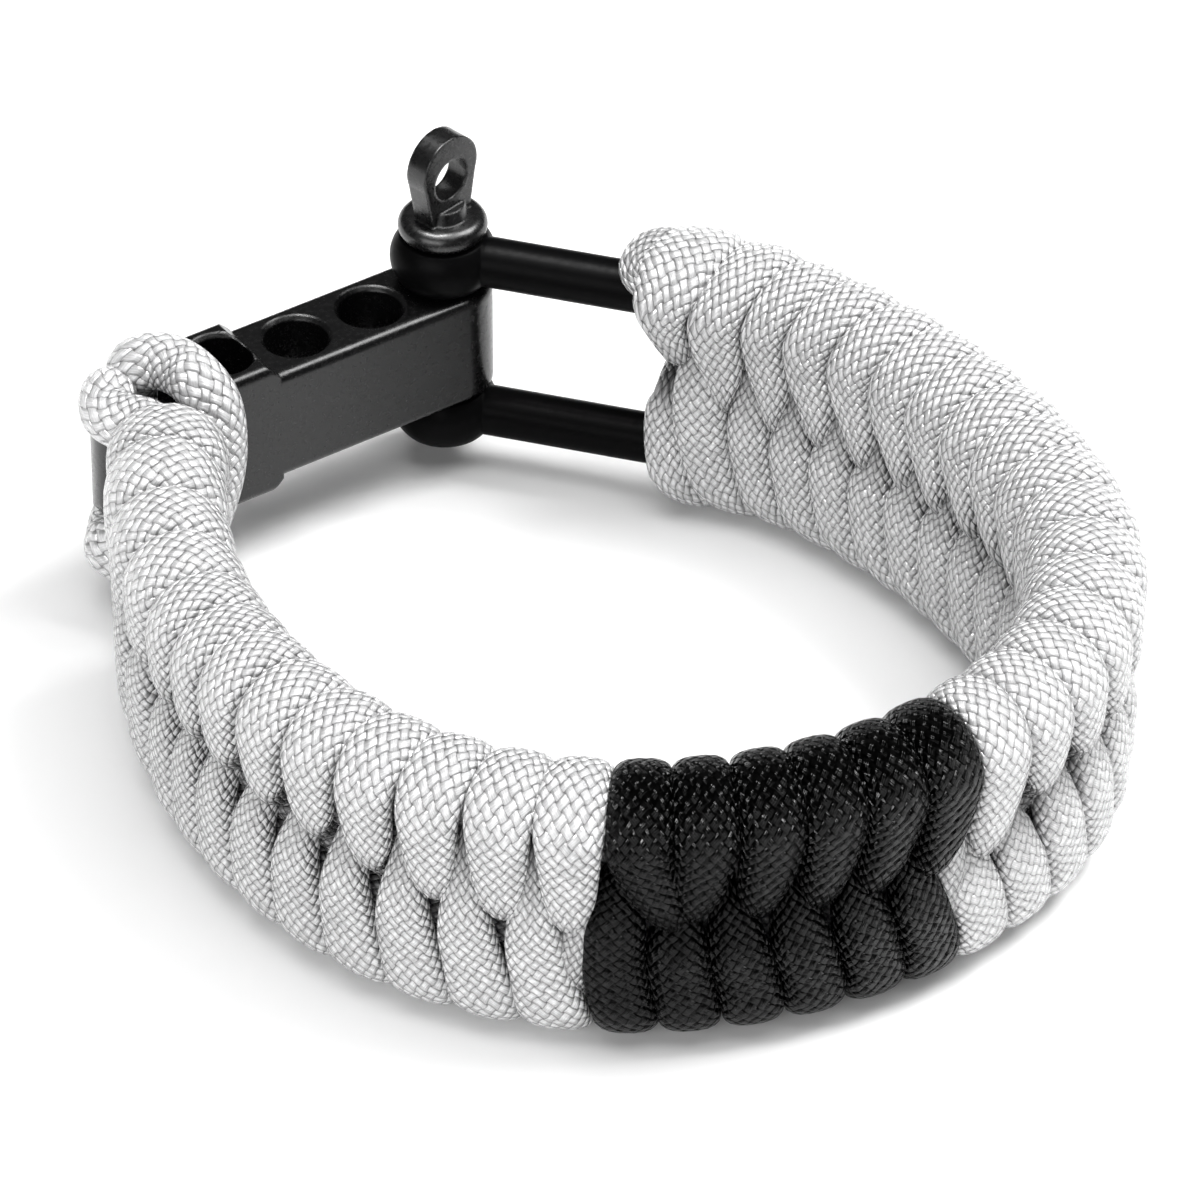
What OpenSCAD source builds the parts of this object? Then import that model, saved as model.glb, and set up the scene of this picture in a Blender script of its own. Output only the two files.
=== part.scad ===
// Paracord bracelet with an adjustable bow shackle.
// Two rows of cord turns are wound over two edge cords, so the band is a zipper of
// turns. One end of the band holds the bow of a shackle, the other a drilled bar,
// and a screw pin through the shackle's ears and one hole of the bar closes the loop.
// The band stands on its lower edge: Z is the wearer's arm, and z = 0 is the lower edge.

/* [Band] */
// Length of the band's middle line, from the bow of the shackle to the bar's cord slot
band_len = 151.5; // [140:0.5:165]
// Width of the band, which is its height as it stands
band_w = 21.7; // [20:0.1:25]
// Thickness of the band over the turns
band_t = 8.6; // [8.2:0.1:9.6]
// Radius of the cords that run along both edges under the turns
core_r = 1.7; // [1.5:0.05:1.7]
// Lean of the band outwards at its upper edge, in degrees
lean = 2; // [0:0.5:4]
// Length at each end of the band over which the lean fades out
lean_run = 25; // [15:1:40]
// Length of band that is wound back over the shackle's legs
wrap_back = 4.7; // [4:0.1:6]

/* [Turns] */
// Light turns in each row, on the shackle's side of the dark ones
turns_shackle_side = 17; // [12:1:20]
// Dark turns in each row
turns_dark = 6; // [3:1:8]
// Light turns in each row, on the bar's side of the dark ones
turns_bar_side = 13; // [9:1:13]
// Spacing of the turns along the band, shackle side
pitch_shackle_side = 3.93; // [3.8:0.01:4.1]
// Spacing of the dark turns
pitch_dark = 4.02; // [3.9:0.01:4.2]
// Spacing of the turns along the band, bar side
pitch_bar_side = 4.33; // [4.1:0.01:4.4]
// Clear space between two turns
turn_gap = 0.26; // [0.22:0.02:0.34]

/* [Shackle] */
// From the pin's axis to the middle of the bow
shackle_len = 22; // [20:0.5:26]
// Diameter of the shackle's legs and bow
leg_d = 3.66; // [3.2:0.02:3.66]
// Outer diameter of the ears
ear_d = 7.6; // [7.2:0.1:8.4]
// Height of an ear
ear_h = 3.6; // [3.2:0.1:3.8]
// Radius of the bulge round an ear
ear_bulge = 2.6; // [2.2:0.1:3.4]

/* [Pin] */
// Diameter of the pin's shaft
pin_d = 4; // [3.6:0.1:4.2]
// Clearance of the shaft in an ear, across the diameter
pin_clear = 0.2; // [0.1:0.05:0.3]
// Diameter of the collar that rests on the upper ear
collar_d = 6.4; // [6:0.1:7]
// Height of the collar
collar_h = 1.8; // [1.4:0.1:2.4]
// Width of the eye plate at its widest
eye_w = 5.2; // [4.8:0.1:6]
// Width of the eye plate where it meets the collar
eye_foot_w = 3.7; // [3.4:0.1:4.4]
// Thickness of the eye plate
eye_t = 1.8; // [1.5:0.1:2.2]
// Height of the eye plate over the collar
eye_h = 6.7; // [6.2:0.1:8]
// Diameter of the hole in the eye plate
eye_hole_d = 3.2; // [2.6:0.1:3.2]
// Height of that hole's middle over the collar
eye_hole_z = 3.3; // [3.1:0.1:3.5]
// Turn of the eye plate from the shackle's own direction
eye_turn = 63; // [0:1:90]

/* [Bar] */
// Width of the bar
bar_w = 7; // [6.6:0.1:8]
// Clear space between the bar and each ear
ear_gap = 0.3; // [0.2:0.05:0.5]
// How far the block at the bar's cord end rises over the bar, above and below
block_rise = 1.05; // [0.8:0.05:1.3]
// Where the raised block begins, from the pin's axis
block_from = 15.9; // [15.2:0.1:16.2]
// From the pin's axis to the bar's far end
bar_len = 29; // [28.6:0.1:31]
// Radius along the bar's long edges
bar_fillet = 0.7; // [0.4:0.1:1]
// Radius of the far end's corners, seen from the side
bar_corner = 2.2; // [1:0.1:3]
// Diameter of the adjusting holes
hole_d = 4.6; // [4.3:0.1:4.8]
// Spacing of the adjusting holes
hole_pitch = 6.23; // [6:0.01:6.3]
// Adjusting holes, the pin's own hole included
holes = 4; // [3:1:4]
// Width of the chamfer round each hole
hole_chamfer = 0.3; // [0.1:0.05:0.5]
// From the pin's axis to the middle of the cord slot
slot_from_pin = 24.4; // [24.3:0.1:24.8]
// Length of the cord slot, along the bar
slot_len = 5.2; // [5:0.1:5.3]
// Width of the cord slot
slot_w = 4.4; // [4:0.1:4.6]

/* [Loops round the bar] */
// Length of the band's middle line that is left when the edge cord bends away to the bar
leave_len = 8.4; // [8:0.1:9]
// Radius of the two cords where the slot squeezes them
loop_r = 1.2; // [1:0.05:1.2]
// Radius of the same two cords where they are free of the slot
free_r = 1.85; // [1.6:0.05:1.9]
// Clear space between a loop and the metal it bears on
loop_gap = 0.15; // [0.12:0.01:0.3]

/* [Stance] */
// Direction of the shackle on the floor, seen from above
clasp_heading = -16.4; // [-40:0.2:40]

/* [Hidden] */
$fn = 48;
eps = 0.01;
light_cord = [0.87, 0.87, 0.88];
dark_cord = [0.07, 0.07, 0.08];
black_metal = [0.1, 0.1, 0.11];

// Bends of the middle line, from the bow to the slot: share of the length, turn in degrees
bends = [
    [0.041, 20.9],
    [0.167, 29.6],
    [0.164, 64.3],
    [0.184, 48.2],
    [0.15, 45.3],
    [0.211, 46.3],
    [0.083, -17.8]];

// Half thickness of a wound cord: what the band's thickness leaves outside the edge cord and
// a clear space
wrap_gap = 0.3;
wrap_r = (band_t / 2 - core_r - wrap_gap) / 2;
// Distance of a turn's middle from the edge cord's middle, and height of the edge cords
face_n = band_t / 2 - wrap_r;
edge_z = band_w / 2 - band_t / 2;
// The bow lies along the edge cords, and the bar fills the space between its ears
bow_r = edge_z;
bar_h = 2 * bow_r - ear_h - 2 * ear_gap;
block_h = bar_h + 2 * block_rise;

// The middle line, in the clasp's own frame: the pin is the origin, the shackle lies along X.
// A bend is an arc, so its far end is one chord away. Headings fall, as the band turns right.
function chord(len, turn) = turn == 0 ? len : 2 * len / (turn * PI / 180) * sin(turn / 2);
function stepped(p, len, turn) =
    let (c = chord(len, turn), a = p[2] - turn / 2)
    [p[0] + c * cos(a), p[1] + c * sin(a), p[2] - turn, p[3] + len];
function line_from(i, p, k) =
    i == len(bends) ? [p]
    : concat([p], line_from(i + 1, stepped(p, bends[i][0] * band_len, bends[i][1] * k), k));
function line_at(k) = line_from(0, [shackle_len, 0, 0, 0], k);
function far_end(k) = let (l = line_at(k)) l[len(l) - 1];
// All turns are scaled by one factor, so that the line ends as far from the pin as the slot is
function miss(k) = let (e = far_end(k)) norm([e[0], e[1]]) - slot_from_pin;
function halved(lo, hi, n) =
    let (m = (lo + hi) / 2)
    n == 0 ? m : miss(m) > 0 ? halved(m, hi, n - 1) : halved(lo, m, n - 1);
turn_factor = halved(0.8, 1.12, 24);
line = line_at(turn_factor);
line_end = line[len(line) - 1];
bar_heading = atan2(line_end[1], line_end[0]);

function bend_of(s, i = 0) = i + 1 >= len(bends) || s < line[i + 1][3] ? i : bend_of(s, i + 1);
// Point and heading of the middle line at a length s from the bow; straight before and after
function on_line(s) =
    s <= 0 ? [shackle_len + s, 0, 0]
    : s >= band_len ? stepped(line_end, s - band_len, 0)
    : let (i = bend_of(s), share = (s - line[i][3]) / (line[i + 1][3] - line[i][3]))
    stepped(line[i], s - line[i][3], share * (line[i][2] - line[i + 1][2]));
// Band coordinates: s along the band, n outwards, z up from mid-height
function lean_at(s) = lean * max(0, min(1, s / lean_run, (band_len - s) / lean_run));
function in_band(s, n, z) =
    let (p = on_line(s), out = n + z * tan(lean_at(s)))
    [p[0] - out * sin(p[2]), p[1] + out * cos(p[2]), z];
// Bar coordinates: u along the bar from the pin, v towards the wearer's side, z up from mid-height
function in_bar(u, v, z) =
    [u * cos(bar_heading) - v * sin(bar_heading), u * sin(bar_heading) + v * cos(bar_heading), z];

// Stations of the turns along the band
function pitch_of(k) =
    k < turns_shackle_side ? pitch_shackle_side
    : k < turns_shackle_side + turns_dark ? pitch_dark
    : pitch_bar_side;
function edge_of(k) =
    k == 0 ? -wrap_back : edge_of(k - 1) + pitch_of(k - 1);
first_dark = turns_shackle_side;
last_dark = first_dark + turns_dark - 1;
last_turn = last_dark + turns_bar_side;

// One turn runs from its tip on the outer face, over the edge cord, to its tip on the inner
// face. Rings of a turn, from tip to tip: share of the way (0 at the outer tip, 0.5 at the top
// of the edge, 1 at the inner tip), half width and half thickness as shares of the full ones,
// how far it sinks in, in half thicknesses, and how far it lies along the band, in pitches, in
// the upper row and in the lower one
rings = [
    [0, 0.26, 0.7, 0.3, 0, 0],
    [0.117, 0.88, 1, 0, 0, -0.03],
    [0.307, 1, 1, 0, 0, -0.22],
    [0.4, 1, 1, 0, -0.03, -0.3],
    [0.5, 1, 1, 0, -0.14, -0.42],
    [0.6, 1, 1, 0, -0.36, -0.68],
    [0.693, 1, 1, 0, -0.56, -1.05],
    [0.883, 0.88, 1, 0, -0.28, -1.27],
    [1, 0.26, 0.7, 0.3, -0.24, -1.25]];
// How far a tip reaches past mid-height
tip_reach = 1;
ring_sides = 8;

// Place on a face or round the edge at a share of the way: distance outwards, height over
// mid-height, and direction outwards
straight_len = edge_z + tip_reach;
face_share = straight_len / (2 * straight_len + face_n * PI);
function wound_at(share) =
    share < face_share ? [face_n, share / face_share * straight_len - tip_reach, 0]
    : share > 1 - face_share ? [-face_n, (1 - share) / face_share * straight_len - tip_reach, 180]
    : let (a = (share - face_share) / (1 - 2 * face_share) * 180)
    [face_n * cos(a), edge_z + face_n * sin(a), a];

// Points of one ring of a turn; row is 1 for the upper row and -1 for the lower one
function turn_ring(station, half_w, pitch, row, r) =
    let (
        w = wound_at(r[0]),
        s0 = station + r[row > 0 ? 4 : 5] * pitch,
        c = cos(180 / ring_sides))
    [for (j = [0 : ring_sides - 1])
        let (
            a = 360 * (j + 0.5) / ring_sides,
            ds = half_w * r[1] * cos(a) / c,
            dn = wrap_r * (r[2] * sin(a) / c - r[3]))
        in_band(s0 + ds, w[0] + dn * cos(w[2]), row * (w[1] + dn * sin(w[2])))];

// A closed tube from rings of points. The walls of its two halves are cut along opposite
// diagonals, so that the facing walls of two turns have the same facets.
module tube(rings, flip = false) {
    sides = len(rings[0]);
    last = len(rings) - 1;
    points = [for (r = rings) each r];
    walls = [for (i = [0 : last - 1], j = [0 : sides - 1])
        let (a = i * sides + j, b = i * sides + (j + 1) % sides)
        each j >= sides / 4 && j < sides * 3 / 4
            ? [[a, b, a + sides], [b, b + sides, a + sides]]
            : [[a, b, b + sides], [a, b + sides, a + sides]]];
    caps = [[for (j = [sides - 1 : -1 : 0]) j], [for (j = [0 : sides - 1]) last * sides + j]];
    faces = concat(walls, caps);
    polyhedron(points, flip ? faces : [for (f = faces) [for (j = [len(f) - 1 : -1 : 0]) f[j]]]);
}

module turn(k, row) {
    pitch = pitch_of(k);
    half_w = (min(pitch, pitch_of(max(k - 1, 0))) - turn_gap) / 2;
    station = edge_of(k) + (row > 0 ? pitch / 2 : pitch);
    tube([for (r = rings) turn_ring(station, half_w, pitch, row, r)], row < 0);
}

// The lower row is one turn short at the bar, where the edge cord bends away
module turns(from, to) {
    for (k = [from : to], row = [1, -1]) if (row > 0 || k < last_turn) turn(k, row);
}

// Everything is modelled round the pin and then moved, so that the whole stands over the origin
function turned(p) =
    [p[0] * cos(clasp_heading) - p[1] * sin(clasp_heading), p[0] * sin(clasp_heading) + p[1] * cos(clasp_heading)];
outline = concat(
    [for (s = [0 : 1 : band_len - leave_len]) turned(in_band(s, band_t / 2, 0))],
    [for (a = [0 : 10 : 350]) turned([ear_d / 2 * cos(a), ear_d / 2 * sin(a)])],
    [for (a = [0 : 10 : 350]) turned(in_bar(bar_len + 1 + core_r * cos(a), 3 + core_r * sin(a), 0))]);
middle = [
    (min([for (p = outline) p[0]]) + max([for (p = outline) p[0]])) / 2,
    (min([for (p = outline) p[1]]) + max([for (p = outline) p[1]])) / 2];

module placed() {
    translate([-middle[0], -middle[1], band_w / 2]) rotate([0, 0, clasp_heading]) children();
}

// Core cords: one runs along both edges and loops over the bar's end, the other is a short
// loop over the bar's side. In the slot they are squeezed to loop_r. Half of each route, from
// the slot's middle to the upper edge; the other half mirrors it below. The fourth number is
// the cord's radius there.
slot_side = loop_r + loop_gap / 2;
over_z = block_h / 2 + loop_gap + free_r;
function at(p, r) = [p[0], p[1], p[2], r];
end_route = [
    at(in_bar(slot_from_pin + slot_side, 0, 0), loop_r),
    at(in_bar(slot_from_pin + slot_side, 0, block_h / 2 + 0.2), loop_r),
    at(in_bar(slot_from_pin + slot_side + 0.5, 0.3, over_z - 0.7), free_r - 0.4),
    at(in_bar(slot_from_pin + slot_side + 2, 1, over_z + 0.1), free_r),
    at(in_bar(bar_len - 0.1, 2.1, over_z), free_r),
    at(in_bar(bar_len + 0.8, 3.6, over_z - 0.4), free_r),
    at(in_bar(bar_len + 0.5, 5.2, edge_z + 0.2), core_r)];
side_v = bar_w / 2 + loop_gap + free_r;
side_route = [
    at(in_bar(slot_from_pin - slot_side, 0, 0), loop_r),
    at(in_bar(slot_from_pin - slot_side, 0, block_h / 2 + 0.2), loop_r),
    at(in_bar(slot_from_pin - slot_side - 0.1, 0.6, over_z - 0.6), free_r - 0.4),
    at(in_bar(slot_from_pin - slot_side - 0.2, 2.4, over_z + 0.1), free_r),
    at(in_bar(slot_from_pin - slot_side - 0.3, side_v - 1, over_z - 0.6), free_r),
    at(in_bar(slot_from_pin - slot_side - 0.2, side_v + 0.3, over_z - 2.4), free_r),
    at(in_bar(slot_from_pin - slot_side + 0.4, side_v + 0.8, over_z - 4.4), free_r),
    at(in_bar(slot_from_pin - slot_side + 1.6, side_v + 1.4, over_z - 6.2), free_r - 0.1),
    at(in_bar(slot_from_pin - slot_side + 2.4, side_v + 1.8, 0), free_r - 0.1)];
// The edge cord stops where it is clear of the bow
core_from = 1.4;
core_steps = 32;
core_to = band_len - leave_len;
function edge_route(row) = [for (i = [0 : core_steps])
    let (k = row > 0 ? core_steps - i : i)
    at(in_band(core_from + (core_to - core_from) * k / core_steps, 0, row * edge_z), core_r)];

function flipped(route) = [for (i = [len(route) - 1 : -1 : 1])
    [route[i][0], route[i][1], -route[i][2], route[i][3]]];
function whole(route) = concat(flipped(route), route);
function unit(v) = v / norm(v);
function place(route, i) = [route[i][0], route[i][1], route[i][2]];
function tangent(route, i) =
    unit(place(route, min(i + 1, len(route) - 1)) - place(route, max(i - 1, 0)));
// Side vectors that turn with the route and no more
function sides_of(route, i, side) =
    i == len(route) ? []
    : let (t = tangent(route, i), s = unit(side - (side * t) * t))
    concat([s], sides_of(route, i + 1, s));
function swept(route, sides) =
    let (side = sides_of(route, 0, [1, 0, 0]))
    [for (i = [0 : len(route) - 1])
        let (t = tangent(route, i), v = side[i], w = cross(t, v), r = route[i][3])
        [for (j = [0 : sides - 1])
            let (a = 360 * (j + 0.5) / sides) place(route, i) + r * cos(a) * v + r * sin(a) * w]];

module core_cords() {
    color(light_cord) placed() {
        tube(swept(concat(edge_route(-1), whole(end_route), edge_route(1)), 6));
        tube(swept(whole(side_route), 8));
    }
}

module light_turns_shackle_side() {
    color(light_cord) placed() turns(0, first_dark - 1);
}

module dark_turns() {
    color(dark_cord) placed() turns(first_dark, last_dark);
}

module light_turns_bar_side() {
    color(light_cord) placed() turns(last_dark + 1, last_turn);
}

// Shackle: two legs, the bow that joins them inside the band, and an ear on each leg
module ear_solid() {
    rotate_extrude() intersection() {
        translate([0, -ear_h / 2]) square([ear_d / 2, ear_h]);
        union() {
            translate([0, -ear_h / 2]) square([ear_d / 2 - ear_bulge, ear_h]);
            translate([ear_d / 2 - ear_bulge, 0]) circle(r = ear_bulge);
        }
    }
}

module shackle() {
    color(black_metal) placed() difference() {
        union() {
            for (side = [-1, 1]) translate([0, 0, side * bow_r]) {
                ear_solid();
                rotate([0, 90, 0]) cylinder(d = leg_d, h = shackle_len - bow_r);
            }
            translate([shackle_len - bow_r, 0, 0]) rotate([90, 0, 0]) rotate([0, 0, -90])
                rotate_extrude(angle = 180) translate([bow_r, 0]) circle(d = leg_d);
        }
        cylinder(d = pin_d + pin_clear, h = 4 * bow_r, center = true);
    }
}

// Screw pin: shaft, collar, neck and eye plate in one piece
collar_from = bow_r + ear_h / 2;
collar_top = collar_from + collar_h;
pin_tip = -bow_r - ear_h / 2 + 0.3;
tip_chamfer = 0.4;
neck_h = 0.9;
module pin_body() {
    translate([0, 0, pin_tip]) cylinder(d1 = pin_d - 2 * tip_chamfer, d2 = pin_d, h = tip_chamfer);
    translate([0, 0, pin_tip + tip_chamfer])
        cylinder(d = pin_d, h = collar_top - pin_tip - tip_chamfer);
    translate([0, 0, collar_from + collar_h / 2]) rotate_extrude() {
        translate([0, -collar_h / 2]) square([(collar_d - collar_h) / 2, collar_h]);
        translate([(collar_d - collar_h) / 2, 0]) circle(d = collar_h);
    }
    translate([0, 0, collar_top - eps]) cylinder(d1 = eye_foot_w, d2 = eye_foot_w - 0.6, h = neck_h);
}

module eye_plate() {
    rotate([0, 0, eye_turn]) rotate([90, 0, 0]) linear_extrude(eye_t, center = true) {
        translate([0, eye_h - eye_w / 2]) circle(d = eye_w);
        polygon([[-eye_foot_w / 2, -eps], [eye_foot_w / 2, -eps],
            [eye_w / 2, eye_h - eye_w / 2], [-eye_w / 2, eye_h - eye_w / 2]]);
    }
}

module shackle_pin() {
    color(black_metal) placed() difference() {
        union() {
            pin_body();
            translate([0, 0, collar_top]) eye_plate();
        }
        translate([0, 0, collar_top + eye_hole_z]) rotate([0, 0, eye_turn]) rotate([90, 0, 0])
            cylinder(d = eye_hole_d, h = 3 * eye_t + eye_foot_w, center = true);
    }
}

// Adjuster bar: a rounded bar with a raised block at its cord end
module rounded_rect(w, h, r) {
    square([w - 2 * r, h], center = true);
    square([w, h - 2 * r], center = true);
    for (x = [-1, 1], y = [-1, 1]) translate([x * (w / 2 - r), y * (h / 2 - r)]) circle(r = r);
}

module along_bar(from, to, h) {
    translate([from, 0, 0]) rotate([90, 0, 90]) linear_extrude(to - from) rounded_rect(bar_w, h, bar_fillet);
}

module hole(h) {
    cylinder(d = hole_d, h = h + 2, center = true);
    for (side = [0, 1]) mirror([0, 0, side]) translate([0, 0, h / 2 - hole_chamfer])
        cylinder(d1 = hole_d, d2 = hole_d + 4 * hole_chamfer, h = 2 * hole_chamfer);
}

// A round end of the bar, as wide as the bar
module bar_round(h) {
    rotate_extrude() intersection() {
        rounded_rect(bar_w, h, bar_fillet);
        translate([0, -h]) square([bar_w, 2 * h]);
    }
}

module bar_solid() {
    bar_round(bar_h);
    along_bar(0, block_from + 2 * block_rise, bar_h);
    intersection() {
        union() {
            along_bar(block_from, bar_len - bar_w / 2, block_h);
            translate([bar_len - bar_w / 2, 0, 0]) bar_round(block_h);
        }
        rotate([90, 0, 0]) linear_extrude(2 * bar_w, center = true) union() {
            polygon([[block_from, -bar_h / 2], [block_from + block_rise, -block_h / 2],
                [bar_len - bar_corner, -block_h / 2], [bar_len - bar_corner, block_h / 2],
                [block_from + block_rise, block_h / 2], [block_from, bar_h / 2]]);
            translate([bar_len - 2 * bar_corner, -block_h / 2 + bar_corner])
                square([2 * bar_corner, block_h - 2 * bar_corner]);
            for (y = [-1, 1]) translate([bar_len - bar_corner, y * (block_h / 2 - bar_corner)])
                circle(r = bar_corner);
        }
    }
}

module adjuster_bar() {
    color(black_metal) placed() rotate([0, 0, bar_heading]) difference() {
        bar_solid();
        for (i = [0 : holes - 1]) translate([i * hole_pitch, 0, 0])
            hole(i * hole_pitch > block_from ? block_h : bar_h);
        translate([slot_from_pin, 0, 0]) {
            cube([slot_len - slot_w, slot_w, 2 * block_h], center = true);
            for (side = [-1, 1]) translate([side * (slot_len - slot_w) / 2, 0, 0])
                cylinder(d = slot_w, h = 2 * block_h, center = true);
        }
    }
}

shackle();
shackle_pin();
adjuster_bar();
core_cords();
light_turns_shackle_side();
dark_turns();
light_turns_bar_side();
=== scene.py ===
import math
from collections import namedtuple

import bpy
import numpy as np
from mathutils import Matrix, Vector


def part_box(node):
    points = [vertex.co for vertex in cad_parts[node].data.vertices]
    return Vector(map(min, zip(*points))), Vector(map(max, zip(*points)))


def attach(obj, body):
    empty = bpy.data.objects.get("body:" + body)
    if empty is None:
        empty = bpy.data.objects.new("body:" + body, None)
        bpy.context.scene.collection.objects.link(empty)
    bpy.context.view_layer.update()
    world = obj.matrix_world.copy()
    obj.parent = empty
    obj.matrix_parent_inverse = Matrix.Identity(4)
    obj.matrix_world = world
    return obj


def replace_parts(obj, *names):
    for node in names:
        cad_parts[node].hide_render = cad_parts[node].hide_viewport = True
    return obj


# Looks of the paracord bracelet: two rows of braided cord turns over two edge cords, and a satin black
# clasp. Lengths are in millimetres until a mesh is made, and angles in degrees until they are used.
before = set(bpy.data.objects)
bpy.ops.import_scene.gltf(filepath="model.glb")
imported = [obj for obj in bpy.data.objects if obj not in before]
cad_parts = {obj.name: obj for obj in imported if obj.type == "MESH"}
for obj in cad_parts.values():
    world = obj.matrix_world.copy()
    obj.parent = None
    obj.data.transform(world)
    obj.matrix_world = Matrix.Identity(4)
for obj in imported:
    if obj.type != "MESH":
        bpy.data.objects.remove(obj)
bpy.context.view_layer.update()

MM = 0.001
BODY = "bracelet"

# The band's middle line
BAND_LEN, BAND_W, BAND_T = 151.5, 21.7, 8.6
LEAN, LEAN_RUN = 2.0, 25.0   # how far the band leans outwards at the top, from this far from its ends
SHACKLE_LEN, SLOT_FROM_PIN = 22.0, 24.4
CLASP_HEADING = -16.4
Bend = namedtuple("Bend", "share turn")   # share of the band's length, and how far the line turns in it
BENDS = [Bend(0.041, 20.9), Bend(0.167, 29.6), Bend(0.164, 64.3), Bend(0.184, 48.2), Bend(0.15, 45.3),
         Bend(0.211, 46.3), Bend(0.083, -17.8)]
BEND_LIMITS, HALVINGS = (0.8, 1.12), 40   # for the search that closes the line at the bar's slot
PAST_ENDS, TABLE_STEP = 30, 0.1

Spot = namedtuple("Spot", "x y heading s")


def stepped(spot, length, turn):
    """The spot that is a length further on, along an arc."""
    chord = length if turn == 0 else 2 * length / math.radians(turn) * math.sin(math.radians(turn) / 2)
    a = math.radians(spot.heading - turn / 2)
    return Spot(spot.x + chord * math.cos(a), spot.y + chord * math.sin(a), spot.heading - turn,
                spot.s + length)


def line_at(k):
    """The band's line when every bend turns k times as far."""
    line = [Spot(SHACKLE_LEN, 0.0, 0.0, 0.0)]
    for bend in BENDS:
        line.append(stepped(line[-1], bend.share * BAND_LEN, bend.turn * k))
    return line


def solved_line():
    """The line that ends as far from the pin as the bar's slot is."""
    lo, hi = BEND_LIMITS
    for _ in range(HALVINGS):
        middle = (lo + hi) / 2
        end = line_at(middle)[-1]
        if math.hypot(end.x, end.y) > SLOT_FROM_PIN:
            lo = middle
        else:
            hi = middle
    return line_at((lo + hi) / 2)


LINE = solved_line()
BAR_HEADING = math.atan2(LINE[-1].y, LINE[-1].x)


def table_point(s):
    """x, y and heading at s, straight on past both ends."""
    if s <= 0:
        return (SHACKLE_LEN + s, 0.0, 0.0)
    i = max(k for k, spot in enumerate(LINE) if spot.s <= s)
    here = LINE[i]
    if i == len(LINE) - 1:
        return stepped(here, s - here.s, 0)[:3]
    there = LINE[i + 1]
    share = (s - here.s) / (there.s - here.s)
    return stepped(here, s - here.s, share * (here.heading - there.heading))[:3]


TABLE_S = np.arange(-PAST_ENDS, BAND_LEN + PAST_ENDS, TABLE_STEP)
TABLE = np.array([table_point(s) for s in TABLE_S])

# The pin's axis is the middle of its box, so the clasp's place comes from the CAD part itself
pin_lo, pin_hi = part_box("shackle_pin")
PIN = np.array([pin_lo.x + pin_hi.x, pin_lo.y + pin_hi.y]) / 2 / MM


def placed(x, y, z):
    """Clasp coordinates, from the pin's axis at mid-height, to the part's own."""
    h = math.radians(CLASP_HEADING)
    return np.stack([PIN[0] + x * math.cos(h) - y * math.sin(h),
                     PIN[1] + x * math.sin(h) + y * math.cos(h), z + BAND_W / 2], -1)


def in_band(s, n, z):
    """Band coordinates: s along the band from the bow, n outwards, z up from mid-height."""
    x, y, h = (np.interp(s, TABLE_S, TABLE[:, k]) for k in range(3))
    h = np.radians(h)
    lean = LEAN * np.clip(np.minimum(s, BAND_LEN - s) / LEAN_RUN, 0, 1)
    out = n + z * np.tan(np.radians(lean))
    return placed(x - out * np.sin(h), y + out * np.cos(h), z)


def in_bar(u, v, z):
    """Bar coordinates: u along the bar from the pin, v towards the wrist, z up from mid-height."""
    c, s = math.cos(BAR_HEADING), math.sin(BAR_HEADING)
    return placed(u * c - v * s, u * s + v * c, z)


# Meshes
def make_object(name, verts, faces, uvs, shades, material, slot):
    """uvs: a pair for each corner of each face, in face order; shades: painted shade, a number for each
    vertex.
    """
    mesh = bpy.data.meshes.new(name)
    mesh.from_pydata([tuple(v) for v in np.asarray(verts) * MM], [], faces)
    layer = mesh.uv_layers.new(name="braid")
    layer.data.foreach_set("uv", np.asarray(uvs, np.float32).ravel())
    shade = mesh.attributes.new("shade", "FLOAT", "POINT")
    shade.data.foreach_set("value", np.asarray(shades, np.float32))
    mesh.polygons.foreach_set("use_smooth", [True] * len(mesh.polygons))
    mesh.materials.append(material)
    mesh.validate()
    mesh.update()
    o = bpy.data.objects.new(name, mesh)
    bpy.context.scene.collection.objects.link(o)
    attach(o, BODY)
    return o


class Strands:
    """Closed tubes, gathered into one mesh, with the braid's own coordinates in the UV map."""

    def __init__(self):
        self.verts, self.faces, self.uvs, self.shades, self.count = [], [], [], [], 0

    def add(self, rings, centres, phase=0.0, shade=1.0):
        """rings: points by ring and side; centres: the middle line; shade: painted shade, the share of the
        cord's colour that is kept.
        """
        m, n, _ = rings.shape
        step = np.linalg.norm(np.diff(centres, axis=0), axis=1)
        along = np.concatenate([[0], np.cumsum(step)])
        tangent = np.gradient(centres, axis=0)
        tangent /= np.linalg.norm(tangent, axis=1)[:, None]
        # A ring that is cut askew carries the braid askew too
        skew = np.einsum("mnk,mk->mn", rings - centres[:, None], tangent)
        v = (along[:, None] + skew) / PICK_LEN
        v = np.concatenate([v, v[:, :1]], 1)
        closed = np.concatenate([rings, rings[:, :1]], 1)
        chord = np.linalg.norm(np.diff(closed, axis=1), axis=2)
        arc = np.concatenate([np.zeros((m, 1)), np.cumsum(chord, 1)], 1)
        u = arc / arc[:, -1:] * YARNS + phase
        base = self.count
        self.verts.append(rings.reshape(-1, 3))
        self.shades.append(np.repeat(np.broadcast_to(shade, m), n))
        for i in range(m - 1):
            for j in range(n):
                k = (j + 1) % n
                here, there = base + i * n, base + (i + 1) * n
                self.faces.append((here + j, here + k, there + k, there + j))
                corners = ((i, j), (i, j + 1), (i + 1, j + 1), (i + 1, j))
                self.uvs += [(u[corner], v[corner]) for corner in corners]
        # A flat end at the first ring and at the last
        for ring, order in ((0, range(n - 1, -1, -1)), (m - 1, range(n))):
            self.faces.append(tuple(base + ring * n + j for j in order))
            self.uvs += [(u[ring, j], v[ring, j]) for j in order]
        self.count += m * n

    def build(self, name, material, slot):
        verts, shades = np.concatenate(self.verts), np.concatenate(self.shades)
        return make_object(name, verts, self.faces, self.uvs, shades, material, slot)


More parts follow.
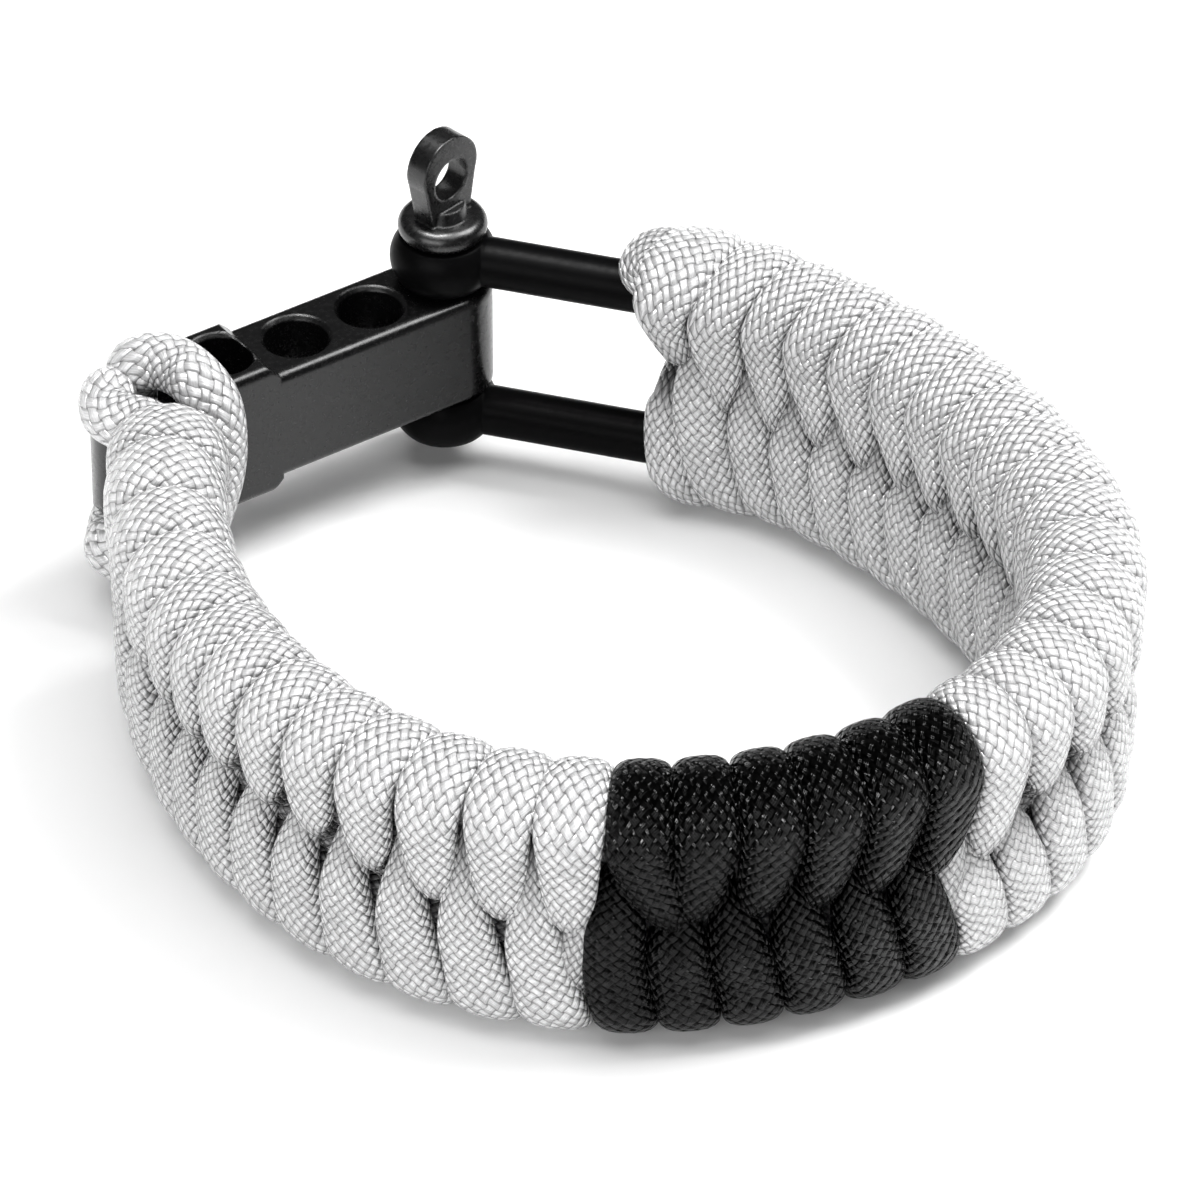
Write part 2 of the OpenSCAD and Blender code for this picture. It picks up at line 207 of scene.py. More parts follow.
def smooth_table(rows, x):
    """Cubic Hermite through rows of (place, value), with flat ends and no overshoot."""
    at, value = np.array(rows, float).T
    slope = np.diff(value) / np.diff(at)
    m = np.zeros(len(at))
    for i in range(1, len(at) - 1):
        if slope[i - 1] * slope[i] > 0:
            m[i] = 2 * slope[i - 1] * slope[i] / (slope[i - 1] + slope[i])
    x = np.clip(np.asarray(x, float), at[0], at[-1])
    i = np.clip(np.searchsorted(at, x, side="right") - 1, 0, len(at) - 2)
    h = at[i + 1] - at[i]
    t = (x - at[i]) / h
    return ((2 * t ** 3 - 3 * t ** 2 + 1) * value[i] + (t ** 3 - 2 * t ** 2 + t) * h * m[i]
            + (3 * t ** 2 - 2 * t ** 3) * value[i + 1] + (t ** 3 - t ** 2) * h * m[i + 1])


def ring_angles(sides):
    return 2 * math.pi * (np.arange(sides) + 0.5) / sides


def ring_shape(sides, power):
    """Unit superellipse, as cosines and sines."""
    c, s = np.cos(ring_angles(sides)), np.sin(ring_angles(sides))
    return np.sign(c) * np.abs(c) ** (2 / power), np.sign(s) * np.abs(s) ** (2 / power)


# The turns of cord. A row is UPPER or LOWER, and each turn has an OUTER and an INNER tip
UPPER, LOWER = 1, -1
OUTER, INNER = 0, 1
WRAP_R = 1.15                        # half the thickness of a pressed turn
FACE_N = BAND_T / 2 - WRAP_R         # a turn's middle line, from the band's
EDGE_Z = BAND_W / 2 - BAND_T / 2     # where a turn's arch over the edge begins, over mid-height
WRAP_BACK = 4.7                      # how far the first turn begins behind the bow
TURN_GAP = 0.02
SEED = 7
YARNS, PICK_LEN = 12, 0.92           # yarns of each hand round a cord, and a pick's repeat along it
RINGS, SIDES, RING_POWER = 46, 20, 2.6
Section = namedtuple("Section", "piece turns pitch slot node")
SECTIONS = [Section("light_cord_shackle_side", 17, 3.93, "light_cord", "light_turns_shackle_side"),
            Section("dark_cord", 6, 4.02, "dark_cord", "dark_turns"),
            Section("light_cord_bar_side", 13, 4.33, "light_cord", "light_turns_bar_side")]

# By station along the band: how much further along than even turns the bar side's begin
SHIFT = [(104, 0), (112.2, -0.1), (116.5, -0.4), (120.9, -1.3), (125.2, -1.9), (129.5, -1.1), (133.9, -0.5),
         (138.2, 0.8), (142.5, 0)]
# By station: how far the first turns swell outwards
SWELL, SWELL_POWER = [(-2.7, 1.8), (1.2, 0.9), (6.0, 0.0)], 1.5
# A turn's way over the band's edge runs from 0 near its outer tip to 1 near its inner one. By way: how
# far the turn lies along the band there, in pitches
WAY_PAST_MIDDLE = 1.0
WAY_LEN = 2 * (EDGE_Z + WAY_PAST_MIDDLE) + math.pi * FACE_N
DRIFT_PITCH = 4.02                   # a longer pitch drifts no further
DRIFT = {
    UPPER: [(0, 0), (0.117, 0), (0.307, 0), (0.4, -0.03), (0.5, -0.14), (0.6, -0.36), (0.693, -0.56),
            (0.883, -0.28), (1, -0.24)],
    LOWER: [(0, 0), (0.117, -0.03), (0.307, -0.22), (0.4, -0.3), (0.5, -0.42), (0.6, -0.68), (0.693, -1.05),
            (0.883, -1.27), (1, -1.25)]}
# By station: share of the upper row's drift
DRIFT_SHARE = [(-3, 1.05), (3, 1.0), (9, 0.8), (14, 0.65), (18, 0.5), (60, 0.25)]
# By station: the height over mid-height at which the tips end
TIP_Z = {
    (UPPER, OUTER): [(50, 3.1), (56, 3.1), (60, 0.5), (64, 0.9), (68, 1.4), (80, 1.7), (86, 0.6), (92, 1.0),
                     (96, 1.45), (100, 2.0), (104, 2.5), (108, 3.0)],
    (UPPER, INNER): [(-2.7, 4.3), (1.2, 1.0), (5.1, 0.1), (9, 0.55), (13, 0.85), (17, 1.15), (21, 1.6),
                     (25, 2.2), (32, 2.6)],
    (LOWER, OUTER): [(-0.8, -3.6), (3, 2.0), (50, 3.0), (56, 2.5), (60, 1.5), (64, 2.5), (82, 2.8),
                     (86, 5.3), (95, 5.5), (102, 4.5), (110, 4.0)],
    (LOWER, INNER): [(-0.8, -1.1), (3.1, 5.6), (7.1, 3.9), (11, 3.0)]}
# By station: how far the tips lean along the band
TIP_LEAN = {
    (UPPER, OUTER): [(54, 0), (60, 1.5), (63.7, 1.4), (68, 1.5), (72, 1.1), (80, 0.8), (84.2, -1.95),
                     (88.2, -0.1), (100, -0.45)],
    (UPPER, INNER): [(-2.7, 0.4), (1.2, -0.5), (5.1, 0.1), (9, 0.8), (13, 1.1), (17, 1.5), (21, 1.5),
                     (25, 2.0), (32, 2.4)],
    (LOWER, OUTER): [(50, 0.3), (66, 0.8), (74, 0.6), (80, 0.2), (82.2, -0.5), (86.2, -0.9), (90.5, 0.1),
                     (95, 0), (99, -0.6), (103.5, -1.0), (108, -1.8), (112, -2.1)],
    (LOWER, INNER): [(-0.8, 0.5), (3.1, -0.6), (7.1, -0.5), (11, -0.2), (15, 0.1)]}
LEAN_POWER = 1.3
# By distance from the tip: width of a turn, as a share of its place in the row
TAPER = {
    (UPPER, OUTER): [(0, 0.28), (0.3, 0.41), (1.0, 0.58), (2.0, 0.71), (3.0, 0.78), (4.2, 0.84), (5.7, 0.9),
                     (7.0, 0.96), (8.5, 1.03)],
    (UPPER, INNER): [(0, 0.28), (0.8, 0.42), (2.4, 0.78), (4.4, 1.03)],
    (LOWER, OUTER): [(0, 0.25), (0.8, 0.38), (2.0, 0.46), (3.5, 0.55), (5.7, 0.72), (8.0, 0.88),
                     (11.0, 0.97), (13.0, 1.03)],
    (LOWER, INNER): [(0, 0.25), (0.8, 0.4), (2.2, 0.6), (3.6, 0.85), (5.5, 1.03)]}
# The same from the shackle to the end of the dark turns, whose outer tips are blunter
BLUNT_TAPER = {
    **TAPER,
    (UPPER, OUTER): [(0, 0.28), (0.3, 0.42), (1.0, 0.62), (2.0, 0.8), (4.0, 0.96), (6.0, 1.03)],
    (LOWER, OUTER): [(0, 0.2), (0.8, 0.4), (1.3, 0.5), (2.2, 0.72), (3.7, 0.86), (6.0, 1.0)]}
# The same for the very first turn of each row
FIRST_LOW = [(0, 0.6), (0.5, 0.74), (1.2, 0.8), (3.0, 0.8), (9.0, 0.84)]
FIRST_TAPER = {
    **BLUNT_TAPER,
    (UPPER, INNER): [(0, 0.5), (0.5, 0.7), (1.2, 0.8), (2.4, 0.9), (4.4, 1.03)],
    (LOWER, OUTER): FIRST_LOW,
    (LOWER, INNER): FIRST_LOW}
FIRST_ALONG = {UPPER: 0.0, LOWER: 0.55}   # how far along the very first turns are moved
# By way: how much wider towards the bow the first upper turn is
FIRST_WIDE = [(0, 0), (0.2, 0), (0.35, 1.0), (0.5, 1.7), (0.6, 0.9), (0.69, -0.1), (0.8, -0.8), (0.9, -0.3),
              (1.0, 0)]
THIN_TIP, THIN_RUN = 0.1, 1.5        # share by which a turn thins at its tip, and how near to it
# By distance from the tip: how deep a turn lies under the face; the lower row is tucked under the upper
SINK = {UPPER: [(0, 0.5), (0.4, 0.2), (0.9, 0.08), (2.0, 0.0)],
        LOWER: [(0, 1.5), (1.0, 1.2), (3.0, 0.7), (4.5, 0.3), (6.0, 0.05)]}
HIDDEN = {UPPER: 0.7, LOWER: 0.1}    # how far a tip goes on past where it is seen to end
TAIL = [(-1.75, -0.6), (-1.1, -0.5), (-0.45, -0.28)]   # a tip's end inside the band: n and z from the tip
TIP_STEP, ARC_STEP = 0.4, 10
WAY_POINTS, SMOOTHING = 500, 13
# By distance from the tip: painted shade, the share of a turn's colour that is kept, since the gaps between
# turns are deep and get little light
SHADE = {UPPER: [(-0.3, 0.2), (0.2, 0.5), (0.9, 0.85), (2.0, 1.0)],
         LOWER: [(0, 0.15), (1.0, 0.35), (2.5, 0.65), (4.5, 0.9), (6.5, 1.0)]}
# How much a turn sits out of place along the band, and how much further its tips reach
UNEVEN_ALONG, UNEVEN_REACH = 0.06, 0.15
PHASE_STEP = 0.37                    # turns the braid round its cord from one turn to the next


def tip_way(row, reach, outer):
    """Half of a turn's middle line in (n, z), from the hidden tail of a tip up to the band's edge."""
    z = np.append(np.arange(-reach, EDGE_Z, TIP_STEP), EDGE_Z)
    n = FACE_N - smooth_table(SINK[row], z + reach)
    tail = [(n[0] + dn, -reach + dz) for dn, dz in TAIL]
    half = np.array(tail + list(zip(n, z)))
    return half if outer else half[::-1] * [-1, 1]


def turn_way(row, reach):
    """A turn's whole middle line in (n, z), up the outer face, over the edge and down the inner face."""
    angles = np.radians(np.arange(ARC_STEP, 180, ARC_STEP))
    arc = np.array([(FACE_N * math.cos(a), EDGE_Z + FACE_N * math.sin(a)) for a in angles])
    points = np.concatenate([tip_way(row, reach[OUTER], True), arc, tip_way(row, reach[INNER], False)])
    t = np.concatenate([[0], np.cumsum(np.linalg.norm(np.diff(points, axis=0), axis=1))])
    x = np.linspace(0, t[-1], WAY_POINTS)
    n, z = (np.interp(x, t, points[:, k]) for k in range(2))
    kernel = np.hanning(SMOOTHING) / np.hanning(SMOOTHING).sum()
    margin = SMOOTHING // 2
    for v in (n, z):
        v[margin:-margin] = np.convolve(v, kernel, mode="valid")
    return n, z


def add_turn(strands, station, pitch, row, along, further, taper, first):
    """One turn; along and further: how far it is out of place, and how much further its tips reach."""
    lean = [smooth_table(TIP_LEAN[row, face], station) for face in (OUTER, INNER)]
    tips = [smooth_table(TIP_Z[row, face], station) for face in (OUTER, INNER)]
    reach = [HIDDEN[row] - row * z + further for z in tips]
    n, z = turn_way(row, reach)
    length = np.concatenate([[0], np.cumsum(np.hypot(np.diff(n), np.diff(z)))])
    way = 0.5 + (length - length[np.argmax(z)]) / WAY_LEN
    rings = np.linspace(0, length[-1], RINGS)
    n, z, way = (np.interp(rings, length, v) for v in (n, z, way))
    drift = smooth_table(DRIFT[row], way) * min(pitch, DRIFT_PITCH)
    if row == UPPER:
        drift = drift * smooth_table(DRIFT_SHARE, station)
    width, thick, shade = np.ones(RINGS), np.ones(RINGS), np.ones(RINGS)
    for face in (OUTER, INNER):
        here = (way < 0.5) == (face == OUTER)
        tip = z + reach[face]
        down = np.clip((EDGE_Z - z) / (EDGE_Z + reach[face]), 0, 1)
        drift = drift + here * lean[face] * down ** LEAN_POWER
        width = np.where(here, smooth_table(taper[row, face], tip), width)
        thick = np.where(here, 1 - THIN_TIP * np.clip((THIN_RUN - tip) / THIN_RUN, 0, 1), thick)
        # Painted shade near the tips, where the gaps between turns are deep
        shade = np.where(here, smooth_table(SHADE[UPPER if first else row], tip), shade)
    n = n + smooth_table(SWELL, station) * np.clip(0.5 + n / (2 * FACE_N), 0, 1) ** SWELL_POWER
    dn, dz = np.gradient(n), np.gradient(z)
    size = np.hypot(dn, dz)
    out_n, out_z = dz / size, -dn / size
    cx, cy = ring_shape(SIDES, RING_POWER)
    s = station + drift + along
    ds = (pitch - TURN_GAP) / 2 * width[:, None] * cx[None]
    dr = WRAP_R * thick[:, None] * cy[None]
    if first and row == UPPER:
        ds = ds * (1 + smooth_table(FIRST_WIDE, way)[:, None] * (cx < 0) / (pitch / 2))
    ring_n, ring_z = n[:, None] + dr * out_n[:, None], z[:, None] + dr * out_z[:, None]
    points = in_band(s[:, None] + ds, ring_n, row * ring_z)
    if row == LOWER:
        points = points[:, ::-1]   # mirrored, so the rings run the other way round
    strands.add(points, in_band(s, n, row * z), phase=PHASE_STEP * station, shade=shade)


def wind(materials):
    """The turns of each section, as one piece, in the place of the section's CAD node."""
    rng = np.random.default_rng(SEED)
    edge = -WRAP_BACK
    for section_index, part in enumerate(SECTIONS):
        bar_side = section_index == len(SECTIONS) - 1
        strands = Strands()
        edges = [edge + part.pitch * k for k in range(part.turns + 1)]
        edges = [e + smooth_table(SHIFT, e) for e in edges]
        for k in range(part.turns):
            first = section_index == 0 and k == 0
            taper = FIRST_TAPER if first else TAPER if bar_side else BLUNT_TAPER
            pitch = edges[k + 1] - edges[k]
            for row in (UPPER, LOWER):
                along = rng.uniform(-UNEVEN_ALONG, UNEVEN_ALONG)
                further = rng.uniform(-UNEVEN_REACH, UNEVEN_REACH)
                if first:
                    along, further = FIRST_ALONG[row], 0
                # The lower row lies half a pitch further on, and has one turn less at the bar
                if row == LOWER and bar_side and k == part.turns - 1:
                    continue
                station = edges[k] + (pitch / 2 if row == UPPER else pitch)
                add_turn(strands, station, pitch, row, along, further, taper, first)
        edge += part.pitch * part.turns
        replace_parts(strands.build(part.piece, materials[part.slot], part.slot), part.node)


# Edge cords, loops and the strands in the gaps
CORE_R = 1.7
EDGE_START, EDGE_SHORT, EDGE_POINTS = 1.4, 8.4, 60   # an edge cord begins here, and stops short of the end
CURVE_STEP, SPAN_STEPS, CORD_SIDES, LEAST_RINGS = 0.35, 24, 18, 8
# Cords that fill the band between its edge cords, seen only through the gaps between turns
FILL_Z, FILL_N, FILL_R = (-5.4, -2.8, -0.1, 2.6, 5.3), 0.8, 1.3
# Painted shade: the fill cords' colour is darkened to FILL_SHADE, and the loose strands' to LOOSE_SHADE
FILL_START, FILL_SHORT, FILL_POINTS, FILL_SIDES, FILL_SHADE = -4.0, 11, 52, 14, 0.35
LOOSE_SHADE = 0.75
# Routes at the bar, in columns u, v, z and the cord's radius there. The loop out of the slot's end:
END_LOOP = [(26.4, -0.8, 0, 1.2), (26.8, -0.8, 3.5, 1.3), (27.4, -0.5, 5.3, 1.8), (28.3, 0.6, 6.2, 2.0),
            (29.1, 1.9, 6.0, 2.05), (28.8, 3.3, 5.9, 2.05), (27.9, 4.7, 6.0, 2.0), (27.5, 6.2, 6.2, CORE_R)]
# The loop over the bar's side, above
SIDE_LOOP = [(24.8, -1.0, 0, 1.2), (25.1, -1.0, 3.5, 1.5), (25.5, -0.8, 5.8, 1.9), (25.3, -0.2, 7.2, 2.0),
             (24.1, 0.8, 7.6, 2.05), (23.2, 2.2, 7.4, 2.05), (22.8, 4.0, 6.9, 2.05), (22.5, 5.3, 5.4, 2.05),
             (22.8, 6.2, 2.9, 2.0), (23.6, 6.9, 0.8, 1.95), (24.8, 7.6, -1.2, 1.8), (26.0, 8.4, -3.0, 1.6)]
# The same loop below, from the band back into the slot
LOW_LOOP = [(26.4, 8.4, -3.2, 1.6), (24.4, 6.8, -4.6, 1.9), (24.0, 5.0, -6.2, 2.0), (24.2, 3.0, -7.4, 2.0),
            (24.6, 1.0, -7.6, 2.0), (25.0, -0.5, -6.4, 1.8), (24.8, -1.0, -3.5, 1.4)]
# Routes in the band, in columns s, n, z and radius: a loose end round the bow's leg, and two strands
# that cross behind the ends of the dark turns
LOOSE_STRANDS = [
    [(-4.5, 3.6, 7.8, 1.1), (-6.0, 2.4, 9.1, 1.15), (-7.1, 0.8, 9.6, 1.15), (-7.6, -0.6, 9.3, 1.1),
     (-7.5, -1.5, 8.8, 1.0), (-6.8, -2.0, 8.3, 0.9), (-5.8, -2.2, 8.0, 0.85)],
    [(87.3, 2.0, 3.5, 1.2), (87.5, 2.5, 1.0, 1.3), (88.1, 2.6, -3.0, 1.3), (88.6, 2.0, -7.0, 1.2)],
    [(63.7, 1.9, 3.0, 1.2), (63.8, 2.4, 0.5, 1.3), (64.0, 2.4, -3.0, 1.3), (64.2, 1.9, -6.5, 1.2)]]


def curve_through(points):
    """Catmull-Rom curve through (x, y, z, r) points, at even steps."""
    p = np.asarray(points, float)
    p = np.concatenate([2 * p[:1] - p[1:2], p, 2 * p[-1:] - p[-2:-1]])
    out = []
    for i in range(1, len(p) - 2):
        a, b, c, d = p[i - 1], p[i], p[i + 1], p[i + 2]
        t = np.linspace(0, 1, SPAN_STEPS, endpoint=False)[:, None]
        out.append(0.5 * (2 * b + (c - a) * t + (2 * a - 5 * b + 4 * c - d) * t ** 2
                          + (3 * b - a - 3 * c + d) * t ** 3))
    out = np.concatenate(out + [p[-2:-1]])
    length = np.concatenate([[0], np.cumsum(np.linalg.norm(np.diff(out[:, :3], axis=0), axis=1))])
    x = np.linspace(0, length[-1], max(LEAST_RINGS, int(length[-1] / CURVE_STEP)))
    return np.stack([np.interp(x, length, out[:, k]) for k in range(4)], 1)


def add_cord(strands, route, sides=CORD_SIDES, shade=1.0):
    """A round cord along a route, whose rings turn as little as they can."""
    curve = curve_through(route)
    middle, radius = curve[:, :3], curve[:, 3]
    t = np.gradient(middle, axis=0)
    t /= np.linalg.norm(t, axis=1)[:, None]
    a = ring_angles(sides)[:, None]
    side = np.array([1.0, 0, 0])
    rings = []
    for i in range(len(middle)):
        side = side - side.dot(t[i]) * t[i]
        side /= np.linalg.norm(side)
        other = np.cross(t[i], side)
        rings.append(middle[i] + radius[i] * (np.cos(a) * side + np.sin(a) * other))
    strands.add(np.array(rings), middle, shade=shade)


def route_in(place, rows):
    """Rows of three coordinates and a radius, as (x, y, z, r) points of the part."""
    return [[*place(a, b, c), r] for a, b, c, r in rows]


def mirrored(route):
    """The route upside down, from its far end to just before its first point."""
    return [[x, y, BAND_W - z, r] for x, y, z, r in route[:0:-1]]


def edge_route(row):
    s = np.linspace(EDGE_START, BAND_LEN - EDGE_SHORT, EDGE_POINTS)
    return route_in(in_band, [(v, 0.0, row * EDGE_Z, CORE_R) for v in s])


def cords(materials):
    strands = Strands()
    end = route_in(in_bar, END_LOOP)
    add_cord(strands, edge_route(LOWER) + mirrored(end) + end + edge_route(UPPER)[::-1])
    add_cord(strands, route_in(in_bar, LOW_LOOP + SIDE_LOOP))
    for rows in LOOSE_STRANDS:
        add_cord(strands, route_in(in_band, rows), shade=LOOSE_SHADE)
    for n in (-FILL_N, FILL_N):
        for z in FILL_Z:
            s = np.linspace(FILL_START, BAND_LEN - FILL_SHORT, FILL_POINTS)
            add_cord(strands, route_in(in_band, [(v, n, z, FILL_R) for v in s]), FILL_SIDES, FILL_SHADE)
    return strands.build("edge_cords_and_loops", materials["light_cord"], "light_cord")


# Materials
class Nodes:
    """Short forms for a material's node tree."""

    def __init__(self, name):
        self.material = bpy.data.materials.new(name)
        self.material.use_nodes = True
        self.tree = self.material.node_tree
        self.tree.nodes.clear()
        self.shader = self.new("BsdfPrincipled")
        self.link(self.shader.outputs[0], self.new("OutputMaterial").inputs[0])

    def new(self, kind):
        return self.tree.nodes.new("ShaderNode" + kind)

    def link(self, a, b):
        self.tree.links.new(a, b)

    def put(self, value, socket):
        if isinstance(value, bpy.types.NodeSocket):
            self.link(value, socket)
        elif value is not None:
            socket.default_value = value

    def math(self, op, a, b=None, c=None):
        node = self.new("Math")
        node.operation = op
        for value, socket in zip((a, b, c), node.inputs):
            self.put(value, socket)
        return node.outputs[0]

    def add(self, a, b):
        return self.math("ADD", a, b)

    def less(self, a, b):
        return self.math("SUBTRACT", a, b)

    def times(self, a, b, c=0.0):
        """a times b, plus c."""
        return self.math("MULTIPLY_ADD", a, b, c)

    def mix(self, factor, a, b):
        """a where factor is 0, b where it is 1, for single numbers."""
        return self.times(self.less(b, a), factor, a)

    def colour(self, factor, a, b):
        """The same for colours, which are a Mix node's inputs 6 and 7 and its output 2."""
        node = self.new("Mix")
        node.data_type = "RGBA"
        self.put(factor, node.inputs[0])
        for value, k in ((a, 6), (b, 7)):
            self.put((*value, 1.0) if isinstance(value, tuple) else value, node.inputs[k])
        return node.outputs[2]

    def ramp(self, value, lo, hi, out_lo=0.0, out_hi=1.0, kind="SMOOTHSTEP"):
        node = self.new("MapRange")
        node.interpolation_type = kind
        for v, k in zip((value, lo, hi, out_lo, out_hi), range(5)):
            self.put(v, node.inputs[k])
        return node.outputs[0]

    def noise(self, scale, detail):
        node = self.new("TexNoise")
        node.inputs["Scale"].default_value = scale
        node.inputs["Detail"].default_value = detail
        self.link(self.place(), node.inputs["Vector"])
        return node.outputs["Fac"]

    def vector(self, op, a, b=None):
        node = self.new("VectorMath")
        node.operation = op
        self.put(a, node.inputs[0])
        if b is not None:
            self.put(b, node.inputs["Scale"] if op == "SCALE" else node.inputs[1])
        return node.outputs[0]

    def place(self):
        return self.new("TexCoord").outputs["Object"]

    def bump(self, height, strength, distance, normal=None):
        node = self.new("Bump")
        node.inputs["Strength"].default_value = strength
        node.inputs["Distance"].default_value = distance
        self.link(height, node.inputs["Height"])
        self.put(normal, node.inputs["Normal"])
        return node.outputs[0]

    def set(self, **values):
        for key, value in values.items():
            self.put(value, self.shader.inputs[key.replace("_", " ")])


# A yarn's height: how far it swings over and under, and how its flat top falls off at the sides
SWING, SIDE_POWER, SIDE_DROP = 0.42, 3.6, -0.85
UNEVEN_SCALE, UNEVEN_PICKS = 700.0, 0.24   # the braid's own unevenness
FILAMENTS, FILAMENT_SPREAD, FILAMENT_RELIEF = 30.0, 6.0, 0.014
FIBRE_SCALE, FIBRE_RELIEF = 9000.0, 0.03
PICK_TILT, PICK_RISE = 0.9, 0.2     # how much picks differ in slope and in height
# Painted shade in the creases: how a pick's colour takes over from the darker colour of the joints, by its
# own height, and by how far it is over the other
HEIGHT_DARK, HEIGHT_LIT, HEIGHT_LEAST = -0.75, -0.15, 0.35
JOINT_WIDTH, JOINT_LEAST = 0.22, 0.2
TONE_SPREAD, TONE_LEAST = 0.8, 0.1
# Painted sheen: the raised lines of the filaments are lightened towards the bright colour
FILAMENT_LIT, FILAMENT_SHEEN = 0.2, 0.35   # from which height a filament is lighter, and how much

# Colours of the joints' painted shade, of the darkest and lightest picks and of the filaments' painted
# sheen, and the shader's values; mirror is its metallic value, with which the dark cord's colour sets how
# much each pick shines
Braid = namedtuple("Braid", "deep low high bright roughness specular relief coat mirror")
BRAIDS = {
    "light_cord": Braid((0.26, 0.26, 0.265), (0.58, 0.58, 0.585), (0.76, 0.76, 0.765), (0.96, 0.96, 0.96),
                        roughness=0.24, specular=0.8, relief=0.0005, coat=0.5, mirror=0.0),
    "dark_cord": Braid((0.0003,) * 3, (0.002,) * 3, (0.018,) * 3, (0.05,) * 3,
                       roughness=0.22, specular=0.5, relief=0.0006, coat=0.0, mirror=1.0)}
# Pits in the surface, roughness and specular level of each metal piece
Metal = namedtuple("Metal", "pits roughness specular")
METALS = {"shackle": Metal(0.1, 0.36, 0.03),
          "shackle_pin": Metal(0.1, 0.28, 0.6),
          "adjuster_bar": Metal(0.6, 0.25, 0.42)}
METAL_COLOURS = (0.0015, 0.0015, 0.0016), (0.003, 0.003, 0.0032)
GRAIN_SCALE, GRAIN_HEIGHT, GRAIN_LO, GRAIN_HI = 2600.0, 0.5, 0.3, 0.7
BROAD_SCALE = 90.0   # of the slow change of colour
PIT_SCALE, PIT_LO, PIT_HI = 900.0, 0.05, 0.3
ROUGHNESS_SPREAD = 0.05
METAL_BUMP, METAL_RELIEF = 0.35, 0.00003
ROUNDED_EDGE, EDGE_SAMPLES = 0.00025, 6


def yarn(g, own_index, across, along, turn):
    """Height of a yarn that dives under every other yarn it meets, and the place across it."""
    t = g.less(g.math("FRACT", across), 0.5)
    swing = g.math("COSINE", g.times(g.less(g.less(along, 0.5 + turn), own_index), math.pi))
    side = g.math("POWER", g.math("ABSOLUTE", g.times(t, 2.0)), SIDE_POWER)
    return g.times(swing, SWING, g.times(side, SIDE_DROP)), t


def fibre_direction(g, over):
    """The way the filaments run, which makes each hand of yarn shine at its own angle."""
    along = g.new("Tangent")
    along.direction_type = "UV_MAP"
    along.uv_map = "braid"
    across = g.vector("CROSS_PRODUCT", g.new("NewGeometry").outputs["Normal"], along.outputs[0])
    slanted = g.vector("ADD", along.outputs[0], g.vector("SCALE", across, g.times(over, -2.0, 1.0)))
    return g.vector("NORMALIZE", slanted)


def braid_material(name, look):
    """One-over-one round braid: x counts yarns round the cord, y counts picks along it."""
    g = Nodes(name)
    uv = g.new("UVMap")
    uv.uv_map = "braid"
    split = g.new("SeparateXYZ")
    g.link(uv.outputs[0], split.inputs[0])
    uneven = g.times(g.noise(UNEVEN_SCALE, 1.0), UNEVEN_PICKS, -UNEVEN_PICKS / 2)
    x, y = g.add(split.outputs[0], uneven), g.less(split.outputs[1], uneven)
    p, q = g.add(x, y), g.less(x, y)
    i, j = g.math("FLOOR", p), g.math("FLOOR", q)
    (height_a, t_a), (height_b, t_b) = yarn(g, i, p, q, 0.0), yarn(g, j, q, p, 1.0)
    over = g.math("GREATER_THAN", height_a, height_b)
    body = g.math("MAXIMUM", height_a, height_b)
    t = g.mix(over, t_b, t_a)

    # Each pick has a number of its own
    pick = g.times(g.mix(over, g.less(p, g.add(j, 1.0)), g.less(q, i)), 0.5)
    join = g.new("CombineXYZ")
    g.link(g.mix(over, j, i), join.inputs[0])
    g.link(g.math("ROUND", g.less(pick, 0.25)), join.inputs[1])
    g.link(over, join.inputs[2])
    white = g.new("TexWhiteNoise")
    g.link(join.outputs[0], white.inputs["Vector"])
    own = white.outputs["Value"]

    # Filaments run along the yarn, and each pick leans its own way, so that some glint
    lines = g.math("SINE", g.add(g.times(t, FILAMENTS), g.times(own, FILAMENT_SPREAD)))
    height = g.add(body, g.times(lines, FILAMENT_RELIEF))
    height = g.add(height, g.times(g.noise(FIBRE_SCALE, 2.0), FIBRE_RELIEF))
    height = g.add(height, g.times(t, g.times(own, PICK_TILT, -PICK_TILT / 2)))
    height = g.add(height, g.times(own, PICK_RISE))
    normal = g.bump(height, 1.0, look.relief)

    joint = g.ramp(g.math("ABSOLUTE", g.less(height_a, height_b)), 0.0, JOINT_WIDTH)
    # Painted shade: the joints and the low parts of the yarns are darker
    lit = g.times(g.ramp(body, HEIGHT_DARK, HEIGHT_LIT, HEIGHT_LEAST), g.ramp(joint, 0.0, 1.0, JOINT_LEAST))
    tone = g.colour(g.times(own, TONE_SPREAD, TONE_LEAST), look.low, look.high)
    # Painted sheen on the filaments' raised lines
    tone = g.colour(g.ramp(lines, FILAMENT_LIT, 1.0, 0.0, FILAMENT_SHEEN), tone, look.bright)
    # Painted shade: the shade attribute darkens the colour towards black in the gaps between turns
    shade = g.new("Attribute")
    shade.attribute_name = "shade"
    colour = g.colour(shade.outputs["Fac"], (0.0, 0.0, 0.0), g.colour(lit, look.deep, tone))
    g.set(Base_Color=colour, Metallic=look.mirror, Roughness=look.roughness, Normal=normal,
          Specular_IOR_Level=look.specular, Anisotropic=0.5, Tangent=fibre_direction(g, over),
          Coat_Weight=look.coat, Coat_Roughness=0.1, Coat_Normal=normal)
    return g.material


